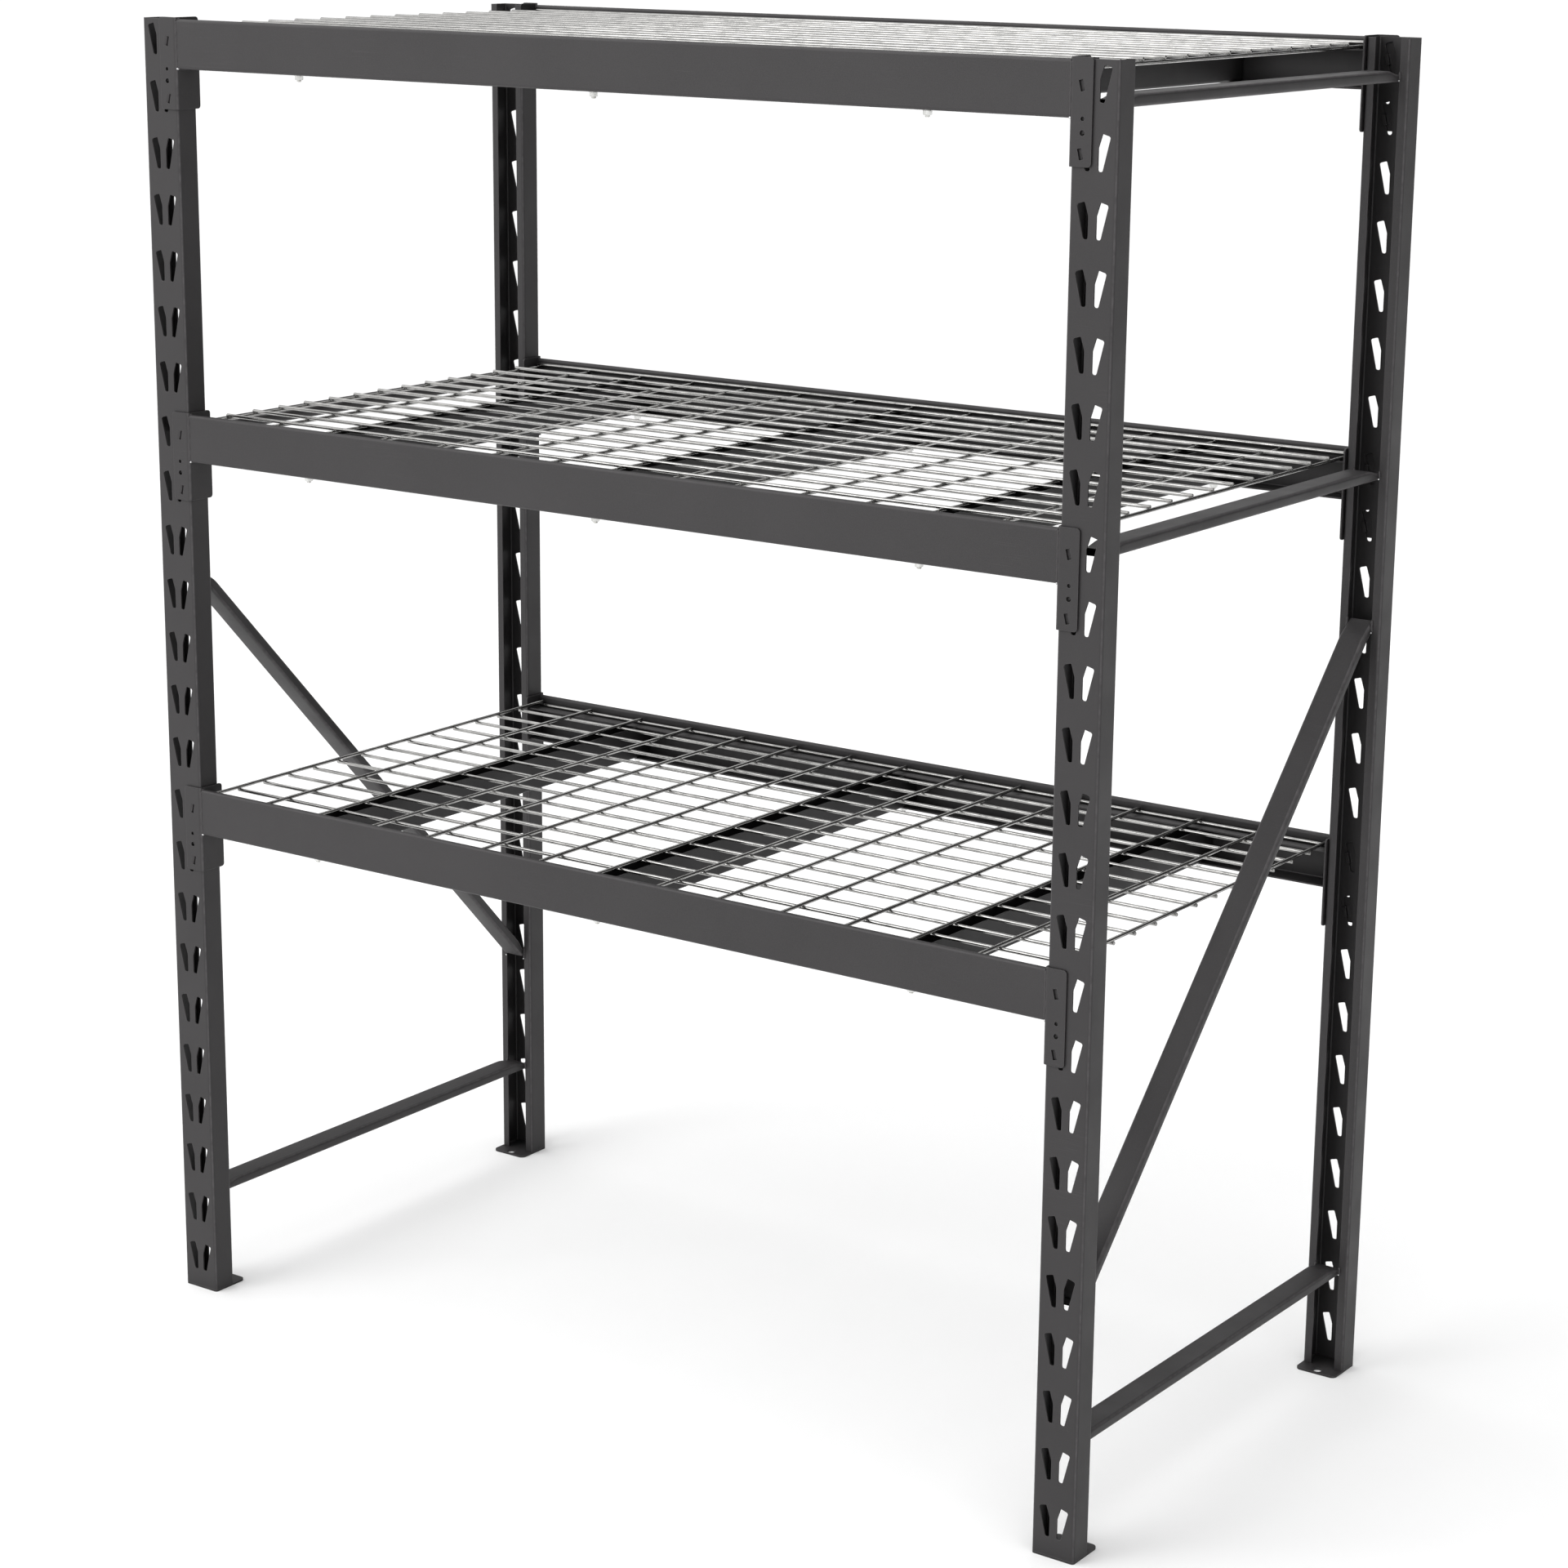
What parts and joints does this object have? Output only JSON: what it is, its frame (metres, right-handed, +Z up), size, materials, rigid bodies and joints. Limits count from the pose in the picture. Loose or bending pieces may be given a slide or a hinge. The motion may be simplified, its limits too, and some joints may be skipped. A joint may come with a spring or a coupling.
{
  "type": "boltless steel shelving",
  "caption": "Free-standing storage rack with slotted posts, braced end frames, hook-in beams, deck supports and lift-out wire mesh decks.",
  "frame": {"origin": "on the floor at the centre of the footprint", "axes": "+Z up, -Y out of the front, +X to the right seen from the front"},
  "size_m": [1.524, 0.767, 1.8308],
  "materials": {
    "frame_coat": "satin charcoal powder coat",
    "plate_coat": "satin charcoal powder coat",
    "beam_coat": "satin charcoal powder coat",
    "support_coat": "satin charcoal powder coat",
    "deck_wire": "bright zinc plating",
    "fastener_zinc": "bright zinc plating"
  },
  "bodies": {
    "frames": {"post_front_left": "frame_coat", "post_front_right": "frame_coat", "post_back_left": "frame_coat", "post_back_right": "frame_coat", "foot_plate_front_left": "plate_coat", "foot_plate_front_right": "plate_coat", "foot_plate_back_left": "plate_coat", "foot_plate_back_right": "plate_coat", "top_brace_left": "frame_coat", "middle_brace_left": "frame_coat", "bottom_brace_left": "frame_coat", "diagonal_brace_left": "frame_coat", "top_brace_right": "frame_coat", "middle_brace_right": "frame_coat", "bottom_brace_right": "frame_coat", "diagonal_brace_right": "frame_coat"},
    "top_shelf": {"top_beam_front": "beam_coat", "top_beam_back": "beam_coat", "top_connector_front_left": "beam_coat", "top_connector_front_right": "beam_coat", "top_connector_back_left": "beam_coat", "top_connector_back_right": "beam_coat", "top_support_left": "support_coat", "top_support_centre": "support_coat", "top_support_right": "support_coat", "top_support_bolts": "fastener_zinc", "top_support_nuts": "fastener_zinc"},
    "top_deck": {"top_deck_long_wires": "deck_wire", "top_deck_cross_wires": "deck_wire"},
    "middle_shelf": {"middle_beam_front": "beam_coat", "middle_beam_back": "beam_coat", "middle_connector_front_left": "beam_coat", "middle_connector_front_right": "beam_coat", "middle_connector_back_left": "beam_coat", "middle_connector_back_right": "beam_coat", "middle_support_left": "support_coat", "middle_support_centre": "support_coat", "middle_support_right": "support_coat", "middle_support_bolts": "fastener_zinc", "middle_support_nuts": "fastener_zinc"},
    "middle_deck": {"middle_deck_long_wires": "deck_wire", "middle_deck_cross_wires": "deck_wire"},
    "bottom_shelf": {"bottom_beam_front": "beam_coat", "bottom_beam_back": "beam_coat", "bottom_connector_front_left": "beam_coat", "bottom_connector_front_right": "beam_coat", "bottom_connector_back_left": "beam_coat", "bottom_connector_back_right": "beam_coat", "bottom_support_left": "support_coat", "bottom_support_centre": "support_coat", "bottom_support_right": "support_coat", "bottom_support_bolts": "fastener_zinc", "bottom_support_nuts": "fastener_zinc"},
    "bottom_deck": {"bottom_deck_long_wires": "deck_wire", "bottom_deck_cross_wires": "deck_wire"}
  },
  "joints": [
    {"name": "top_shelf_lift", "type": "slide", "parent": "frames", "child": "top_shelf", "axis": [0, 0, 1], "range_m": [0, 0.012]},
    {"name": "top_deck_lift", "type": "slide", "parent": "top_shelf", "child": "top_deck", "axis": [0, 0, 1], "range_m": [0, 0.3]},
    {"name": "middle_shelf_lift", "type": "slide", "parent": "frames", "child": "middle_shelf", "axis": [0, 0, 1], "range_m": [0, 0.012]},
    {"name": "middle_deck_lift", "type": "slide", "parent": "middle_shelf", "child": "middle_deck", "axis": [0, 0, 1], "range_m": [0, 0.3]},
    {"name": "bottom_shelf_lift", "type": "slide", "parent": "frames", "child": "bottom_shelf", "axis": [0, 0, 1], "range_m": [0, 0.012]},
    {"name": "bottom_deck_lift", "type": "slide", "parent": "bottom_shelf", "child": "bottom_deck", "axis": [0, 0, 1], "range_m": [0, 0.3]}
  ]
}
